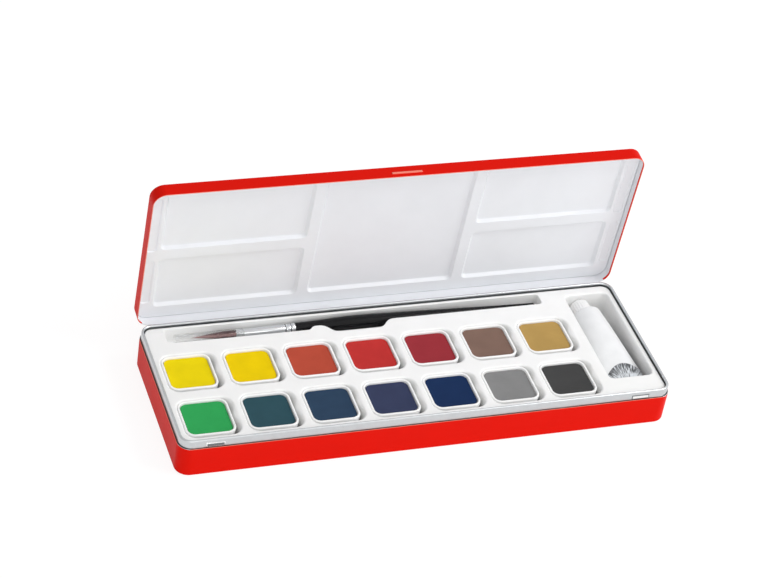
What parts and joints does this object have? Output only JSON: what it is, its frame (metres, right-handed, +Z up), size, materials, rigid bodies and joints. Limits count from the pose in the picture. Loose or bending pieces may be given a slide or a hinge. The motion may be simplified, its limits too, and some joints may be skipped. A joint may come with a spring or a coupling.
{
  "type": "gouache paint set box",
  "caption": "Shallow hinged red tin with a white palette lid, a white tray of square paint pans, a capped brush and a small tube of white.",
  "frame": {"origin": "centre of the tin's flat underside", "axes": "+X along the tin towards the tube, +Y towards the hinges, +Z up; the lid is open at rest"},
  "size_m": [0.26, 0.0996, 0.1093],
  "materials": {
    "red_paint": "gloss red stoving enamel",
    "bare_tin": "bright tinplate",
    "hinge_steel": "steel wire",
    "white_enamel": "gloss white enamel",
    "tray_plastic": "semi-gloss white moulding",
    "pan_plastic": "semi-gloss white moulding",
    "cake_1": "matt pressed gouache",
    "cake_2": "matt pressed gouache",
    "cake_3": "matt pressed gouache",
    "cake_4": "matt pressed gouache",
    "cake_5": "matt pressed gouache",
    "cake_6": "matt pressed gouache",
    "cake_7": "matt pressed gouache",
    "cake_8": "matt pressed gouache",
    "cake_9": "matt pressed gouache",
    "cake_10": "matt pressed gouache",
    "cake_11": "matt pressed gouache",
    "cake_12": "matt pressed gouache",
    "cake_13": "matt pressed gouache",
    "cake_14": "matt pressed gouache",
    "black_lacquer": "gloss black lacquer over wood",
    "ferrule_metal": "nickel-plated",
    "brush_hair": "brown hair",
    "clear_plastic": "clear",
    "tube_enamel": "white lacquer on soft metal",
    "cap_plastic": "semi-gloss white"
  },
  "bodies": {
    "base": {"base_shell": "red_paint", "collar": "bare_tin", "base_hinge_leaf_left": "bare_tin", "hinge_pin_left": "hinge_steel", "base_hinge_leaf_right": "bare_tin", "hinge_pin_right": "hinge_steel"},
    "lid": {"lid_shell": "red_paint", "lid_palette": "white_enamel", "lid_hinge_leaf_left": "bare_tin", "lid_hinge_leaf_right": "bare_tin"},
    "tray": {"tray": "tray_plastic"},
    "brush": {"brush_hair": "brush_hair", "brush_ferrule": "ferrule_metal", "brush_handle": "black_lacquer"},
    "brush_cap": {"brush_cap": "clear_plastic"},
    "tube": {"tube_body": "tube_enamel"},
    "tube_cap": {"tube_cap": "cap_plastic"},
    "paint_pan_1": {"pan_1": "pan_plastic", "cake_1": "cake_1"},
    "paint_pan_2": {"pan_2": "pan_plastic", "cake_2": "cake_2"},
    "paint_pan_3": {"pan_3": "pan_plastic", "cake_3": "cake_3"},
    "paint_pan_4": {"pan_4": "pan_plastic", "cake_4": "cake_4"},
    "paint_pan_5": {"pan_5": "pan_plastic", "cake_5": "cake_5"},
    "paint_pan_6": {"pan_6": "pan_plastic", "cake_6": "cake_6"},
    "paint_pan_7": {"pan_7": "pan_plastic", "cake_7": "cake_7"},
    "paint_pan_8": {"pan_8": "pan_plastic", "cake_8": "cake_8"},
    "paint_pan_9": {"pan_9": "pan_plastic", "cake_9": "cake_9"},
    "paint_pan_10": {"pan_10": "pan_plastic", "cake_10": "cake_10"},
    "paint_pan_11": {"pan_11": "pan_plastic", "cake_11": "cake_11"},
    "paint_pan_12": {"pan_12": "pan_plastic", "cake_12": "cake_12"},
    "paint_pan_13": {"pan_13": "pan_plastic", "cake_13": "cake_13"},
    "paint_pan_14": {"pan_14": "pan_plastic", "cake_14": "cake_14"}
  },
  "joints": [
    {"name": "lid_hinge", "type": "hinge", "parent": "base", "child": "lid", "pos_m": [0, 0.0468, 0.01715], "axis": [-1, 0, 0], "range_deg": [-84, 0]},
    {"name": "tray_lift", "type": "slide", "parent": "base", "child": "tray", "axis": [0, 0, 1], "range_m": [0, 0.025]},
    {"name": "pan_1_lift", "type": "slide", "parent": "tray", "child": "paint_pan_1", "axis": [0, 0, 1], "range_m": [0, 0.012]},
    {"name": "pan_2_lift", "type": "slide", "parent": "tray", "child": "paint_pan_2", "axis": [0, 0, 1], "range_m": [0, 0.012]},
    {"name": "pan_3_lift", "type": "slide", "parent": "tray", "child": "paint_pan_3", "axis": [0, 0, 1], "range_m": [0, 0.012]},
    {"name": "pan_4_lift", "type": "slide", "parent": "tray", "child": "paint_pan_4", "axis": [0, 0, 1], "range_m": [0, 0.012]},
    {"name": "pan_5_lift", "type": "slide", "parent": "tray", "child": "paint_pan_5", "axis": [0, 0, 1], "range_m": [0, 0.012]},
    {"name": "pan_6_lift", "type": "slide", "parent": "tray", "child": "paint_pan_6", "axis": [0, 0, 1], "range_m": [0, 0.012]},
    {"name": "pan_7_lift", "type": "slide", "parent": "tray", "child": "paint_pan_7", "axis": [0, 0, 1], "range_m": [0, 0.012]},
    {"name": "pan_8_lift", "type": "slide", "parent": "tray", "child": "paint_pan_8", "axis": [0, 0, 1], "range_m": [0, 0.012]},
    {"name": "pan_9_lift", "type": "slide", "parent": "tray", "child": "paint_pan_9", "axis": [0, 0, 1], "range_m": [0, 0.012]},
    {"name": "pan_10_lift", "type": "slide", "parent": "tray", "child": "paint_pan_10", "axis": [0, 0, 1], "range_m": [0, 0.012]},
    {"name": "pan_11_lift", "type": "slide", "parent": "tray", "child": "paint_pan_11", "axis": [0, 0, 1], "range_m": [0, 0.012]},
    {"name": "pan_12_lift", "type": "slide", "parent": "tray", "child": "paint_pan_12", "axis": [0, 0, 1], "range_m": [0, 0.012]},
    {"name": "pan_13_lift", "type": "slide", "parent": "tray", "child": "paint_pan_13", "axis": [0, 0, 1], "range_m": [0, 0.012]},
    {"name": "pan_14_lift", "type": "slide", "parent": "tray", "child": "paint_pan_14", "axis": [0, 0, 1], "range_m": [0, 0.012]},
    {"name": "brush_lift", "type": "slide", "parent": "tray", "child": "brush", "axis": [0, 0, 1], "range_m": [0, 0.012]},
    {"name": "brush_cap_slide", "type": "slide", "parent": "brush", "child": "brush_cap", "axis": [-1, 0, 0], "range_m": [0, 0.005]},
    {"name": "tube_lift", "type": "slide", "parent": "tray", "child": "tube", "axis": [0, 0, 1], "range_m": [0, 0.02]},
    {"name": "tube_cap_turn", "type": "hinge", "parent": "tube", "child": "tube_cap", "pos_m": [0.11004, 0.02863, 0.0128], "axis": [-0.0503, 0.9987, 0], "range_deg": [0, 540]}
  ]
}
